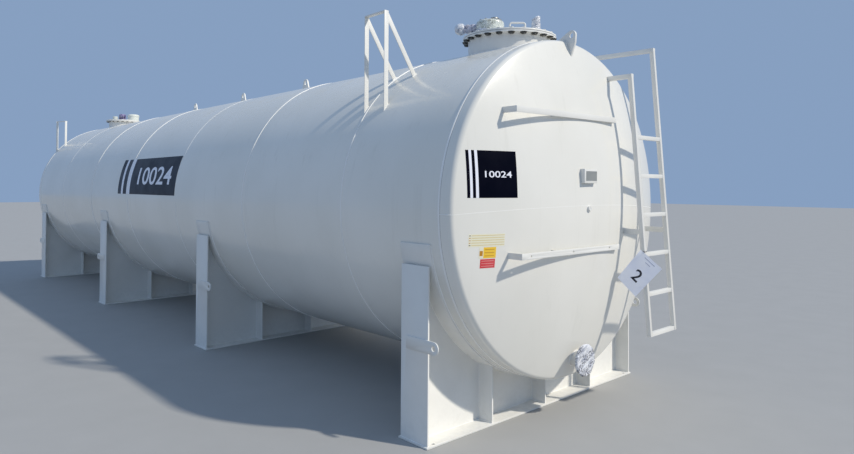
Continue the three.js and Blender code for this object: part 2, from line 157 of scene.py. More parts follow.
class Value:
    """One output of a node. Arithmetic on it adds Math nodes."""

    def __init__(self, board, socket):
        self.board, self.socket = board, socket

    def math(self, operation, *others):
        return self.board.node("ShaderNodeMath", {"operation": operation}, dict(enumerate((self, *others))))

    def __rsub__(self, other):
        return self.board.node("ShaderNodeMath", {"operation": "SUBTRACT"}, {0: other, 1: self})

    __add__ = __radd__ = partialmethod(math, "ADD")
    __mul__ = __rmul__ = partialmethod(math, "MULTIPLY")
    __sub__ = partialmethod(math, "SUBTRACT")
    __truediv__ = partialmethod(math, "DIVIDE")
    size = partialmethod(math, "ABSOLUTE")

    def rise(self, low, high):
        """0 below low, 1 above high, smooth between; the other way round where low is above high."""
        settings = {"interpolation_type": "SMOOTHSTEP"}
        if low > high:
            return 1 - self.rise(high, low)
        return self.board.node("ShaderNodeMapRange", settings, {0: self, 1: low, 2: high})

    def part(self, name):
        """Another output of the same node."""
        return Value(self.board, self.socket.node.outputs[name])


class Board:
    """The nodes of one finish, which start from the place on the object."""

    def __init__(self, name):
        self.material = bpy.data.materials.new(name)
        self.material.use_nodes = True
        self.tree = self.material.node_tree
        self.tree.nodes.clear()
        self.place = self.node("ShaderNodeTexCoord", {}, {}, "Object")

    def node(self, kind, settings, sockets, output=0):
        made = self.tree.nodes.new(kind)
        for key, value in settings.items():
            setattr(made, key, value)
        for key, value in sockets.items():
            if isinstance(value, Value):
                self.tree.links.new(value.socket, made.inputs[key])
            else:
                made.inputs[key].default_value = value
        return Value(self, made.outputs[output])

    def split(self, vector):
        first = self.node("ShaderNodeSeparateXYZ", {}, {0: vector})
        return first, first.part("Y"), first.part("Z")

    def stretched(self, x, y, z, place=None):
        sockets = {0: place or self.place, 1: (x, y, z)}
        return self.node("ShaderNodeVectorMath", {"operation": "MULTIPLY"}, sockets)

    def noise(self, scale, detail=3.0, roughness=0.5, place=None):
        sockets = {"Vector": place or self.place, "Scale": scale, "Detail": detail, "Roughness": roughness}
        return self.node("ShaderNodeTexNoise", {}, sockets)

    def facing_up(self):
        normal = self.node("ShaderNodeNewGeometry", {}, {}, "Normal")
        return self.split(normal)[2]

    def mixed(self, share, first, second):
        sockets = {0: share, 6: linear(first), 7: linear(second)}
        return self.node("ShaderNodeMix", {"data_type": "RGBA"}, sockets, 2)

    def finish(self, colour, roughness, relief=None, relief_depth=0.001, **fixed):
        sockets = {"Base Color": colour, "Roughness": roughness}
        sockets.update({key.replace("_", " "): value for key, value in fixed.items()})
        if relief is not None:
            bump = {"Height": relief, "Distance": relief_depth, "Strength": 1.0}
            sockets["Normal"] = self.node("ShaderNodeBump", {}, bump)
        shader = self.node("ShaderNodeBsdfPrincipled", {}, sockets)
        end = self.tree.nodes.new("ShaderNodeOutputMaterial")
        self.tree.links.new(shader.socket, end.inputs["Surface"])
        return self.material


def wall_paint():
    """Glossy off-white on rolled plate: clouds, run marks, dust on top, a dark line beside the near seam."""
    board = Board("wall_paint")
    x = board.split(board.place)[0]
    clouds = board.noise(1.1, 4)
    runs = board.noise(1.0, 6, 0.6, board.stretched(14, 14, 0.5))
    peel = board.noise(210, 2)
    brush = board.noise(34, 3)
    seam_line = (x - NEAR_SEAM - 0.0095).size().rise(0.0045, 0.0025)
    dust = board.facing_up().rise(0.55, 0.98) * board.noise(5, 5).rise(0.35, 0.75)
    run_marks = runs.rise(0.56, 0.74) * board.facing_up().rise(-0.9, 0.3)
    clean = board.mixed(clouds.rise(0.3, 0.7), (233, 231, 223), (240, 238, 231))
    marked = board.mixed(run_marks * 0.22, clean, (208, 206, 195))
    dusty = board.mixed(dust * 0.25, marked, (200, 194, 178))
    colour = board.mixed(seam_line * 0.45, dusty, (120, 122, 124))
    roughness = 0.19 + clouds * 0.08 + dust * 0.2 + brush * 0.04
    relief = peel * 0.3 + brush * 0.4 + clouds * 1.1
    return board.finish(colour, roughness, relief, 0.0005, Coat_Weight=0.3, Coat_Roughness=0.06)


def steel_paint(name, light, shade, splash):
    """The same paint on plates and bars: brush texture, thin places, and splashes near the ground."""
    board = Board(name)
    z = board.split(board.place)[2]
    clouds = board.noise(4.5, 5)
    strokes = board.noise(1.0, 4, 0.5, board.stretched(60, 60, 9))
    specks = board.noise(170, 2)
    splashes = z.rise(0.3, 0.0) * board.noise(26, 6).rise(0.42, 0.7)
    flecks = board.noise(300, 1).rise(0.7, 0.8)
    clean = board.mixed(clouds.rise(0.3, 0.7), shade, light)
    worn = board.mixed(flecks * 0.25, clean, (150, 148, 140))
    colour = board.mixed(splashes * splash, worn, (150, 143, 128))
    roughness = 0.34 + clouds * 0.14 + splashes * 0.3
    relief = strokes * 0.6 + specks * 0.4
    return board.finish(colour, roughness, relief, 0.0004, Coat_Weight=0.1, Coat_Roughness=0.2)


def plated_steel(name, light, dark):
    """Zinc-plated nuts and screws, stained in patches."""
    board = Board(name)
    stains = board.noise(70, 5)
    scratches = board.noise(1.0, 3, 0.5, board.stretched(300, 300, 60))
    colour = board.mixed(stains.rise(0.35, 0.68), light, dark)
    return board.finish(colour, 0.34 + stains * 0.3, scratches + stains, 0.0003, Metallic=0.8)


def packing_film(name, light, shade, print_tone):
    """Glossy plastic wrapping: folds with painted light on their crests and painted shade in their hollows,
    and worn print that shows as dark flecks.
    """
    board = Board(name)
    slant = {"Vector": board.place, "Angle": -0.45}
    slanted = board.node("ShaderNodeVectorRotate", {"rotation_type": "X_AXIS"}, slant)
    drawn = board.stretched(1, 0.4, 1.7, slanted)
    folds = board.noise(26, 6, 0.62, drawn)
    creases = (board.noise(45, 4, 0.5, drawn) - 0.5).size().rise(0.07, 0.0)
    patches = board.noise(15, 3, 0.5, drawn).rise(0.48, 0.55)
    flecks = board.noise(95, 3, 0.7).rise(0.5, 0.54) * patches
    # The tones follow the fold relief: painted light on the crests, painted shade in the hollows.
    film = board.mixed(folds.rise(0.40, 0.56), shade, light)
    creased = board.mixed(creases * 0.5, film, (250, 250, 252))
    colour = board.mixed(flecks * 0.85, creased, print_tone)
    roughness = 0.14 + folds * 0.2
    return board.finish(colour, roughness, folds + creases * 0.4, 0.004, Coat_Weight=0.6, Coat_Roughness=0.08)


def sheet_colour(name, colour, faded, roughness=0.42, share=0.35, coat=0.25, gloss=0.5):
    """Vinyl sheet or screen print: even, a little faded and scuffed."""
    board = Board(name)
    fading = board.noise(7, 5).rise(0.35, 0.75)
    scuffs = board.noise(1.0, 4, 0.5, board.stretched(90, 40, 240)).rise(0.62, 0.78)
    shown = board.mixed(fading * share + scuffs * share * 0.6, colour, faded)
    relief = board.noise(95, 3)
    fixed = {"Coat_Weight": coat, "Coat_Roughness": 0.15, "Specular_IOR_Level": gloss}
    return board.finish(shown, roughness + fading * 0.12, relief, 0.0002, **fixed)


def rubber():
    board = Board("seal_rubber")
    bloom = board.noise(60, 5)
    colour = board.mixed(bloom.rise(0.4, 0.75), (128, 130, 128), (160, 160, 155))
    return board.finish(colour, 0.62 + bloom * 0.2, bloom, 0.0006)


def paper():
    board = Board("tag_paper")
    fibres = board.noise(1.0, 5, 0.5, board.stretched(500, 180, 500))
    dents = board.noise(9, 3)
    colour = board.mixed(dents.rise(0.3, 0.7), (240, 242, 253), (248, 249, 255))
    return board.finish(colour, 0.55 + fibres * 0.15, fibres * 0.1 + dents, 0.0025)


FINISHES = {
    "wall": wall_paint(),
    "steel": steel_paint("steel_paint", (236, 235, 230), (231, 230, 225), 0.07),
    # The weld paint is lighter than the wall and steel paint: a painted highlight for the light that the
    # round beads catch.
    "weld": steel_paint("weld_paint_painted_highlight", (252, 251, 248), (246, 245, 241), 0.03),
    "valve": steel_paint("valve_paint", (226, 230, 222), (206, 211, 204), 0.0),
    # The nuts are darker than the plated screws: partly their own dark steel, partly painted shade for their
    # place under the collar.
    "nuts": plated_steel("dark_nuts_painted_shade", (118, 116, 110), (62, 60, 57)),
    "screws": plated_steel("bright_screws", (188, 189, 187), (122, 121, 117)),
    "seal": rubber(),
    # Each film's first tone is the painted light on its fold crests, the second the painted shade in its
    # hollows, the third its print.
    "film": packing_film("clear_film", (242, 245, 252), (166, 172, 188), (44, 48, 66)),
    "grey_film": packing_film("grey_film", (206, 206, 220), (146, 148, 168), (52, 52, 72)),
    "green_film": packing_film("green_film", (230, 235, 224), (204, 211, 202), (132, 134, 118)),
    "purple_film": packing_film("purple_film", (104, 84, 160), (50, 38, 96), (26, 20, 52)),
    "white_film": packing_film("white_film", (240, 241, 244), (205, 209, 218), (150, 156, 172)),
    "panel": sheet_colour("label_dark", (2, 4, 20), (8, 11, 30), 0.36, 0.25, 0.0, 0.05),
    "side_panel": sheet_colour("side_label_dark", (6, 14, 34), (12, 22, 44), 0.28, 0.25, 0.0, 0.2),
    "panel_white": sheet_colour("label_white", (244, 246, 255), (232, 234, 246), 0.35),
    "cream": sheet_colour("sticker_cream", (240, 236, 212), (230, 227, 208)),
    "ochre": sheet_colour("sticker_ochre", (222, 204, 148), (216, 204, 162)),
    "yellow": sheet_colour("sticker_yellow", (248, 202, 44), (240, 204, 84)),
    "amber": sheet_colour("sticker_amber", (196, 136, 22), (205, 150, 52)),
    "red": sheet_colour("sticker_red", (216, 54, 62), (222, 92, 94)),
    "pink": sheet_colour("sticker_pink", (232, 148, 146), (236, 176, 172)),
    "black": sheet_colour("figure_black", (24, 22, 34), (48, 46, 58)),
    "grey": sheet_colour("plate_grey", (140, 143, 142), (164, 166, 163), 0.35),
    "faint": sheet_colour("faint_print", (182, 186, 206), (196, 199, 216)),
    "paper": paper(),
}


class Pattern(Board):
    """A Geometry Nodes tree that repeats or sweeps a shape, with its sizes as named inputs."""

    def __init__(self, name, inputs):
        self.tree = bpy.data.node_groups.new(name, "GeometryNodeTree")
        self.socket("Geometry", "OUTPUT", "Geometry")
        for label, kind in {"Geometry": "Geometry", **inputs, "Finish": "Material"}.items():
            self.socket(label, "INPUT", kind)
        self.given_node = self.tree.nodes.new("NodeGroupInput")
        self.end_node = self.tree.nodes.new("NodeGroupOutput")

    def socket(self, label, side, kind):
        self.tree.interface.new_socket(label, in_out=side, socket_type=f"NodeSocket{kind}")

    def given(self, label):
        return Value(self, self.given_node.outputs[label])

    def close(self, geometry):
        whole = self.node("GeometryNodeRealizeInstances", {}, {0: geometry})
        painted = {"Geometry": whole, "Material": self.given("Finish")}
        finished = self.node("GeometryNodeSetMaterial", {}, painted)
        self.tree.links.new(finished.socket, self.end_node.inputs[0])

    def grow(self, name, base, finish, **sizes):
        """A base mesh taken through the tree, as a plain mesh in a new object."""
        piece = placed(name, base)
        modifier = piece.modifiers.new(self.tree.name, "NODES")
        modifier.node_group = self.tree
        given = {"Finish": FINISHES[finish], **{key.replace("_", " "): value for key, value in sizes.items()}}
        for item in self.tree.interface.items_tree:
            if item.in_out == "INPUT" and item.name in given:
                modifier[item.identifier] = given[item.name]
        return settled(piece)


def swept_pattern():
    """A round section swept along the base mesh's lines, thicker and thinner along its way."""
    inputs = {"Width": "Float", "Step": "Float", "Unevenness": "Float", "Sides": "Int"}
    pattern = Pattern("swept_round", inputs)
    line = pattern.node("GeometryNodeMeshToCurve", {}, {"Mesh": pattern.given("Geometry")})
    even = {"Curve": line, "Length": pattern.given("Step")}
    line = pattern.node("GeometryNodeResampleCurve", {"mode": "LENGTH"}, even)
    spot = pattern.node("GeometryNodeInputPosition", {}, {})
    swell = (pattern.noise(70, 2, 0.5, spot) - 0.5) * pattern.given("Unevenness") + 1
    line = pattern.node("GeometryNodeSetCurveRadius", {}, {"Curve": line, "Radius": swell})
    round_size = {"Resolution": pattern.given("Sides"), "Radius": pattern.given("Width") / 2}
    section = pattern.node("GeometryNodeCurvePrimitiveCircle", {}, round_size)
    swept = {"Curve": line, "Profile Curve": section, "Fill Caps": True}
    pattern.close(pattern.node("GeometryNodeCurveToMesh", {}, swept))
    return pattern


def ring_pattern():
    """The base mesh repeated round an upright line, each copy turned its own way."""
    pattern = Pattern("ring_of_fasteners", {"Count": "Int", "Ring radius": "Float", "Seed": "Int"})
    circle_size = {"Vertices": pattern.given("Count"), "Radius": pattern.given("Ring radius")}
    ring = pattern.node("GeometryNodeMeshCircle", {}, circle_size)
    sixth = {2: 0.0, 3: pi / 3, "Seed": pattern.given("Seed")}
    turn = pattern.node("FunctionNodeRandomValue", {}, sixth, 1)
    turn = pattern.node("ShaderNodeCombineXYZ", {}, {2: turn})
    copies = {"Points": ring, "Instance": pattern.given("Geometry"), "Rotation": turn}
    pattern.close(pattern.node("GeometryNodeInstanceOnPoints", {}, copies))
    return pattern


SWEPT, RING = swept_pattern(), ring_pattern()


def evaluated_mesh(piece):
    """A plain mesh of what an object shows."""
    bpy.context.view_layer.update()
    return bpy.data.meshes.new_from_object(piece.evaluated_get(bpy.context.evaluated_depsgraph_get()))


def settled(piece):
    """The piece with its modifiers taken into a plain mesh."""
    mesh = evaluated_mesh(piece)
    piece.modifiers.clear()
    piece.data = mesh
    return piece


def object_of(name, shape):
    bmesh.ops.recalc_face_normals(shape, faces=shape.faces)
    return placed(name, mesh_of(name, shape))


def dressed(piece, finish, nodes=(), smooth=40):
    """Gives a finished mesh its material and shading, and puts it on the tank's body."""
    piece.data.materials.clear()
    piece.data.materials.append(FINISHES[finish])
    piece.data.polygons.foreach_set("use_smooth", [True] * len(piece.data.polygons))
    piece.data.set_sharp_from_angle(angle=radians(smooth))
    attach(piece, "root")
    if nodes:
        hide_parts(*nodes)


def piece_of(name, shape, finish, nodes=(), slot="white_paint", edge=0.0, cut=None, smooth=40):
    """A finished piece from a shape of faces: holes cut, edges eased, riding on its body."""
    piece = object_of(name, shape)
    if cut:
        tool = object_of(f"{name}_cut", cut)
        hole = piece.modifiers.new("holes", "BOOLEAN")
        hole.operation, hole.solver, hole.object = "DIFFERENCE", "EXACT", tool
        settled(piece)
        bpy.data.objects.remove(tool)
    if edge:
        bevel = piece.modifiers.new("eased_edges", "BEVEL")
        bevel.width, bevel.segments, bevel.limit_method = edge, 2, "ANGLE"
        bevel.angle_limit, bevel.use_clamp_overlap = radians(smooth), True
        even = piece.modifiers.new("even_shading", "WEIGHTED_NORMAL")
        even.keep_sharp = True
        settled(piece)
    dressed(piece, finish, nodes, smooth)


def combined(*shapes):
    whole = bmesh.new()
    for shape in shapes:
        mesh = mesh_of("part", shape)
        whole.from_mesh(mesh)
        bpy.data.meshes.remove(mesh)
    return whole


def softened(node, edge=0.0015, **more):
    """A rigid piece from its own solid, with flat faces made whole and its edges eased."""
    shape = bmesh.new()
    shape.from_mesh(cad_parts[node].data)
    bmesh.ops.remove_doubles(shape, verts=shape.verts, dist=2e-5)
    flat = radians(0.6)
    bmesh.ops.dissolve_limit(shape, angle_limit=flat, verts=shape.verts, edges=shape.edges)
    piece_of(f"{node}_eased", shape, "steel", (node,), edge=edge, **more)


def joined(shape, first, second):
    """Closes the gap between two rings of points with faces."""
    for step in range(len(first)):
        after = (step + 1) % len(first)
        shape.faces.new((first[step], first[after], second[after], second[step]))


def circle(across, up, radius, steps):
    """Places round a circle, with the first repeated at the end."""
    turns = [2 * pi * step / steps for step in range(steps + 1)]
    return [(across + radius * cos(a), up + radius * sin(a)) for a in turns]


def turned(profile, place, closed=False, steps=ROUND_STEPS):
    """A shape of revolution. Profile points are (distance from the axis, length along it)."""
    shape = bmesh.new()
    rings = []
    for distance, along in profile:
        spots = circle(0, 0, distance, steps)[:-1] if distance > 1e-6 else [(0, 0)]
        rings.append([shape.verts.new((*spot, along)) for spot in spots])
    pairs = list(zip(rings, rings[1:])) + ([(rings[-1], rings[0])] if closed else [])
    for lower, upper in pairs:
        for step in range(steps):
            after = (step + 1) % steps
            corners = [lower[step % len(lower)], lower[after % len(lower)]]
            corners += [upper[after % len(upper)], upper[step % len(upper)]]
            corners = list(dict.fromkeys(corners))
            if len(corners) > 2:
                shape.faces.new(corners)
    bmesh.ops.transform(shape, matrix=place, verts=shape.verts)
    return shape


def disc(radius, low, high, sides=20, place=Matrix()):
    return turned([(0, low), (radius, low), (radius, high), (0, high)], place, steps=sides)


def hexagon(across, low, high):
    """A hexagon nut or head, chamfered at its far end."""
    ease = (high - low) * 0.18
    profile = [(0, low), (across / 2, low), (across / 2, high - ease), (across * 0.42, high), (0, high)]
    return turned(profile, Matrix(), steps=6)


def along_x(x, y=0.0, z=AXIS_Z):
    """Places a turned shape with its axis along the tank."""
    return Matrix.Translation((x, y, z)) @ Matrix.Rotation(pi / 2, 4, "Y")


def upright(x, y=0.0, z=0.0):
    """Places a turned shape with its axis upright."""
    return Matrix.Translation((x, y, z))


def between(start, end):
    """Places a turned shape with its axis from one point towards another."""
    turn = (Vector(end) - Vector(start)).to_track_quat("Z", "Y")
    return Matrix.Translation(start) @ turn.to_matrix().to_4x4()


def wrinkled(shape, depth, scale, seed):
    """Pushes a wrapping's points in and out in sharp folds."""
    bmesh.ops.recalc_face_normals(shape, faces=shape.faces)
    shape.normal_update()
    moves = {}
    for vertex in shape.verts:
        spot = vertex.co * scale + Vector((seed, 0, seed / 2))
        fold = 0.5 - abs(noise.noise(spot)) * 2 + 0.4 * noise.noise(spot * 2.3)
        moves[vertex] = vertex.normal * depth * fold
    for vertex, move in moves.items():
        vertex.co += move
    return shape


def wrapping(name, profile, place, steps, folds, finish, nodes=(), slot="clear_film"):
    """A turned piece with its surface in folds, given as their depth, scale and seed."""
    shape = wrinkled(turned(profile, place, steps=steps), *folds)
    piece_of(name, shape, finish, nodes, slot, smooth=50)


def head_depth(distance):
    """How far a dished end stands out from its seam, at a distance from the tank's axis."""
    if distance < CROWN * sin(KNUCKLE_TURN):
        return CROWN_CENTRE + sqrt(CROWN**2 - distance**2)
    return FLANGE + sqrt(max(KNUCKLE**2 - (distance - KNUCKLE_CENTRE) ** 2, 0))


def on_end(y, z):
    """A point of the near end, and the way straight out of its plate."""
    distance = max(hypot(y, z - AXIS_Z), 1e-6)
    step = 1e-4
    slope = (head_depth(distance + step) - head_depth(distance - step)) / (2 * step)
    out = Vector((1, -slope * y / distance, -slope * (z - AXIS_Z) / distance)).normalized()
    return Vector((NEAR_SEAM + head_depth(distance), y, z)), out


def on_left_flank(x, angle):
    """A point of the left flank, and the way straight out of its plate."""
    out = Vector((0, -cos(angle), sin(angle)))
    return Vector((x, 0, AXIS_Z)) + out * RADIUS, out


def on_right_flank(x, angle):
    """The right flank, read from its own side, so that a label's places run the other way along the tank."""
    out = Vector((0, cos(angle), sin(angle)))
    return Vector((sum(SIDE_PANEL) - x, 0, AXIS_Z)) + out * RADIUS, out


def head_profile(inset):
    """The dished end's line from its seam to the axis, moved in by the plate's thickness."""
    knuckle, crown = KNUCKLE - inset, CROWN - inset
    line = [(RADIUS - inset, 0.0), (RADIUS - inset, FLANGE / 2)]
    for step in range(15):
        angle = (pi / 2 - KNUCKLE_TURN) * step / 14
        line.append((KNUCKLE_CENTRE + knuckle * cos(angle), FLANGE + knuckle * sin(angle)))
    for step in range(1, 29):
        angle = KNUCKLE_TURN * (1 - step / 28)
        line.append((crown * sin(angle), CROWN_CENTRE + crown * cos(angle)))
    return line


def middle_of(node):
    low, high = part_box(node)
    return (low + high) / 2


def manhole_place(word):
    """How far along the tank a manhole stands, and its flange's radius."""
    low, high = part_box(f"manhole_{word}_cover")
    return (low.x + high.x) / 2, (high.x - low.x) / 2


def build_wall():
    """The rolled courses, drawn in a little at their welds, and the two dished ends."""
    for number, name in enumerate(COURSES):
        length = SEAMS[number] - SEAMS[number + 1]
        by_weld = (0, 0.02, 0.045, 0.08, 0.13)
        stations = {*by_weld, *[length - place for place in by_weld]}
        stations |= {length * step / 12 for step in range(2, 11)}
        profile = [(RADIUS - WELD_DRAW_IN * exp(-((min(place, length - place) / 0.05) ** 2)), place)
                   for place in sorted(stations)]
        profile += [(RADIUS - PLATE, length), (RADIUS - PLATE, 0)]
        shape = turned(profile, along_x(SEAMS[number + 1]), closed=True)
        for vertex in shape.verts:
            out = Vector((0, vertex.co.y, vertex.co.z - AXIS_Z))
            if out.length > RADIUS - PLATE / 2:
                wave = noise.noise(vertex.co * 1.7) + 0.5 * noise.noise(vertex.co * 4.1)
                vertex.co -= out.normalized() * WALL_RIPPLE * (wave + 1.5) / 2
        cut, word = None, {COURSES[0]: "near", COURSES[-1]: "far"}.get(name)
        if word:
            cut = disc(NECK_RADII[word] - PLATE, AXIS_Z, 3, 64, upright(manhole_place(word)[0]))
        piece_of(f"wall_course_{number + 1}", shape, "wall", (name,), cut=cut)
    profile = head_profile(0) + head_profile(PLATE)[::-1]
    drain = disc(DRAIN_BORE, 0, 0.5, 32, along_x(NEAR_SEAM, 0, OUTLET_HEIGHT))
    for word, x, turn, cut in (("near", NEAR_SEAM, 0, drain), ("far", FAR_SEAM, pi, None)):
        shape = turned(profile, along_x(x) @ Matrix.Rotation(turn, 4, "X"), closed=True)
        piece_of(f"dished_end_{word}", shape, "wall", (f"head_{word}",), cut=cut)


def round_the_tank(x, radius, first=0.0, last=2 * pi, count=180):
    """Points round the tank's axis; angle 0 is on the right flank and rises from there."""
    turns = [first + (last - first) * step / count for step in range(count + 1)]
    return [Vector((x, radius * cos(a), AXIS_Z + radius * sin(a))) for a in turns]


def on_shell(x, y):
    """A point on top of the shell."""
    return Vector((x, y, AXIS_Z + sqrt(RADIUS**2 - y**2)))


def weld(name, paths, width, step=0.014, finish="weld", nodes=(), unevenness=0.55, sides=6, smooth=80):
    """Painted beads along paths, each a list of points; with other settings, plain rods."""
    lines = bmesh.new()
    for path in paths:
        closed = (Vector(path[0]) - Vector(path[-1])).length < 1e-6
        verts = [lines.verts.new(point) for point in (path[:-1] if closed else path)]
        for first, second in zip(verts, verts[1:] + (verts[:1] if closed else [])):
            lines.edges.new((first, second))
    sizes = {"Width": width, "Step": step, "Unevenness": unevenness, "Sides": sides}
    bead = SWEPT.grow(name, mesh_of(name, lines), finish, **sizes)
    dressed(bead, finish, nodes, smooth=smooth)


def build_wall_welds():
    """Ring welds between the courses, one line of weld along each course, and one across each end."""
    proud = [SEAMS[number] for number in (1, 2, 4, 5)]
    weld("ring_welds", [round_the_tank(x, RADIUS - 0.0025) for x in proud], 0.012)
    weld("flat_ring_welds", [round_the_tank(x, RADIUS - 0.0040) for x in (SEAMS[3], SEAMS[6])], 0.010)
    weld("end_ring_welds", [round_the_tank(x, RADIUS - 0.0085) for x in (NEAR_SEAM, FAR_SEAM)], 0.026)
    lengthwise = []
    for number in range(len(COURSES)):
        angle, radius = radians(55 if number % 2 else 38), RADIUS - 0.0006
        y, z = radius * cos(angle), AXIS_Z + radius * sin(angle)
        lengthwise.append([(SEAMS[number], y, z), (SEAMS[number + 1], y, z)])
    weld("lengthwise_welds", lengthwise, 0.007)
    reach = sqrt((RADIUS - 0.0015) ** 2 - (END_WELD_HEIGHT - AXIS_Z) ** 2)
    across = [reach * sin(pi / 2 * step / 60) for step in range(-60, 61)]
    near = [on_end(y, END_WELD_HEIGHT - END_WELD_SAG * y * y)[0] - Vector((0.0028, 0, 0)) for y in across]
    rims = [Vector((NEAR_SEAM, point.y, point.z)) for point in (near[0], near[-1])]
    near = rims[:1] + near + rims[1:]
    far = [(NEAR_SEAM + FAR_SEAM - point.x, point.y, point.z) for point in near]
    weld("end_plate_welds", [near, far], 0.0065)


def build_pads():
    """The curved wear pads between the saddles and the shell."""
    inner, outer = PAD_RADIUS
    for number in range(1, 5):
        low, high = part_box(f"saddle_pad_{number}")
        top_angle = asin((high.z - AXIS_Z) / outer)
        corners = [(low.x, inner), (high.x, inner), (high.x, outer), (low.x, outer)]
        lines = [round_the_tank(*corner, top_angle, -pi - top_angle, 72) for corner in corners]
        shape = bmesh.new()
        sections = [[shape.verts.new(point) for point in section] for section in zip(*lines)]
        for first, second in zip(sections, sections[1:]):
            joined(shape, first, second)
        shape.faces.new(sections[0])
        shape.faces.new(sections[-1][::-1])
        piece_of(f"wear_pad_{number}", shape, "steel", (f"saddle_pad_{number}",), edge=0.002)


def build_saddles():
    """The plate saddles, with beads along their joints and along the pads' edges."""
    beads, pad_beads = [], []
    web, half, inner = STEEL / 2, SADDLE_HALF_DEPTH, END_PLATE_INNER

    def under_pad(y):
        return AXIS_Z - sqrt(PAD_RADIUS[1] ** 2 - y**2)

    def crosswise(x, y):
        beads.append([(x - half, y, BASE_THICKNESS), (x + half, y, BASE_THICKNESS)])

    def upwards(x, y, top):
        for corner in (x - web, x + web):
            beads.append([(corner, y, BASE_THICKNESS), (corner, y, top)])

    for number in range(1, 5):
        softened(f"saddle_{number}", edge=0.0018)
        x = middle_of(f"saddle_pad_{number}").x
        for side in (-1, 1):
            face = x + side * web
            beads.append([(face, y, BASE_THICKNESS) for y in (-inner, inner)])
            beads.append([(face, y, under_pad(y)) for y in [-1.205 + 2.41 * step / 60 for step in range(61)]])
            crosswise(x, side * inner)
            crosswise(x, side * END_PLATE_OUTER)
            upwards(x, side * inner, END_PLATE_TOP - 0.004)
            edge = x + side * PAD_HALF_DEPTH
            pad_beads.append(round_the_tank(edge, RADIUS, radians(-10), radians(-170), 90))
        for rib in (-inner / 2, 0, inner / 2):
            for face in (rib - web, rib + web):
                crosswise(x, face)
                upwards(x, face, min(RIB_TOP, under_pad(rib)))
    weld("saddle_welds", beads, 0.005, 0.02)
    weld("pad_welds", pad_beads, 0.008, 0.02)


def build_manhole(word, count, nut, seed):
    """A neck that follows the shell, a flat collar, a seal and a bolted cover."""
    x, rim = manhole_place(word)
    neck, seam = NECK_RADII[word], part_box(f"manhole_{word}_cover")[0].z
    low = seam - COLLAR_THICKNESS
    profile = [(neck - PLATE, AXIS_Z), (neck, AXIS_Z), (neck, low - 0.03), (neck, low - 0.009),
               (neck + 0.003, low - 0.002), (neck + 0.009, low), (rim - 0.002, low), (rim, low + 0.002),
               (rim, seam - 0.003), (rim - 0.002, seam - 0.0012), (neck - PLATE, seam - 0.0012)]
    shape = turned(profile, upright(x), closed=True, steps=128)
    for vertex in shape.verts:
        if abs(vertex.co.z - AXIS_Z) < 1e-6:
            vertex.co.z = on_shell(x, vertex.co.y).z - 0.003
    piece_of(f"manhole_{word}_collar", shape, "steel", (f"manhole_{word}_neck",))
    seal = [(neck, seam - 0.0015), (rim - 0.0012, seam - 0.0015), (rim - 0.0012, seam + 0.0015),
            (neck, seam + 0.0015)]
    piece_of(f"manhole_{word}_seal", turned(seal, upright(x), closed=True, steps=128), "seal")
    lid = [(0, COVER_TOP), (rim - 0.004, COVER_TOP - 0.0005), (rim - 0.001, COVER_TOP - 0.0015),
           (rim, COVER_TOP - 0.004), (rim, seam + 0.003), (rim - 0.002, seam + 0.0012), (0, seam + 0.0012)]
    piece_of(f"manhole_{word}_lid", turned(lid, upright(x), steps=128), "steel", (f"manhole_{word}_cover",))

    heads = combined(disc(nut * 0.45, COVER_TOP - 0.0005, COVER_TOP + 0.001),
                     hexagon(nut * 0.8, COVER_TOP + 0.001, COVER_TOP + 0.0055))
    # The nuts hang under the collar: they are drawn upside down and then turned over
    nuts = combined(disc(nut * 0.6, low - 0.0025, low + 0.0005), hexagon(nut, 0.0025 - low, nut * 0.30 - low))
    for vertex in nuts.verts:
        vertex.co.z = abs(vertex.co.z)
    for kind, fastener, finish in (("heads", heads, "steel"), ("nuts", nuts, "nuts")):
        bmesh.ops.recalc_face_normals(fastener, faces=fastener.faces)
        sizes = {"Count": count, "Ring_radius": (neck + rim) / 2 + 0.002, "Seed": seed}
        made = RING.grow(f"manhole_{word}_{kind}", mesh_of(kind, fastener), finish, **sizes)
        made.data.transform(upright(x) @ Matrix.Rotation(BOLT_TURN, 4, "Z"))
        dressed(made, finish)

    foot = [on_shell(*spot) - Vector((0, 0, 0.001)) for spot in circle(x, 0, neck, 120)]
    weld(f"manhole_{word}_weld", [foot], 0.011)


def tube(name, points, width, finish, nodes=(), sides=14):
    """A round rod along a line of points."""
    weld(name, [points], width, 0.006, finish, nodes, 0.0, sides, 60)


def rounded_corners(corners, radius, steps=6):
    """A line through corners, each but the ends taken round at a radius."""
    points = [Vector(corners[0])]
    for before, corner, after in zip(corners, corners[1:], corners[2:]):
        before, corner, after = Vector(before), Vector(corner), Vector(after)
        start = corner + (before - corner).normalized() * radius
        end = corner + (after - corner).normalized() * radius
        for step in range(steps + 1):
            share = step / steps
            points.append(start.lerp(corner, share).lerp(corner.lerp(end, share), share))
    return points + [Vector(corners[-1])]


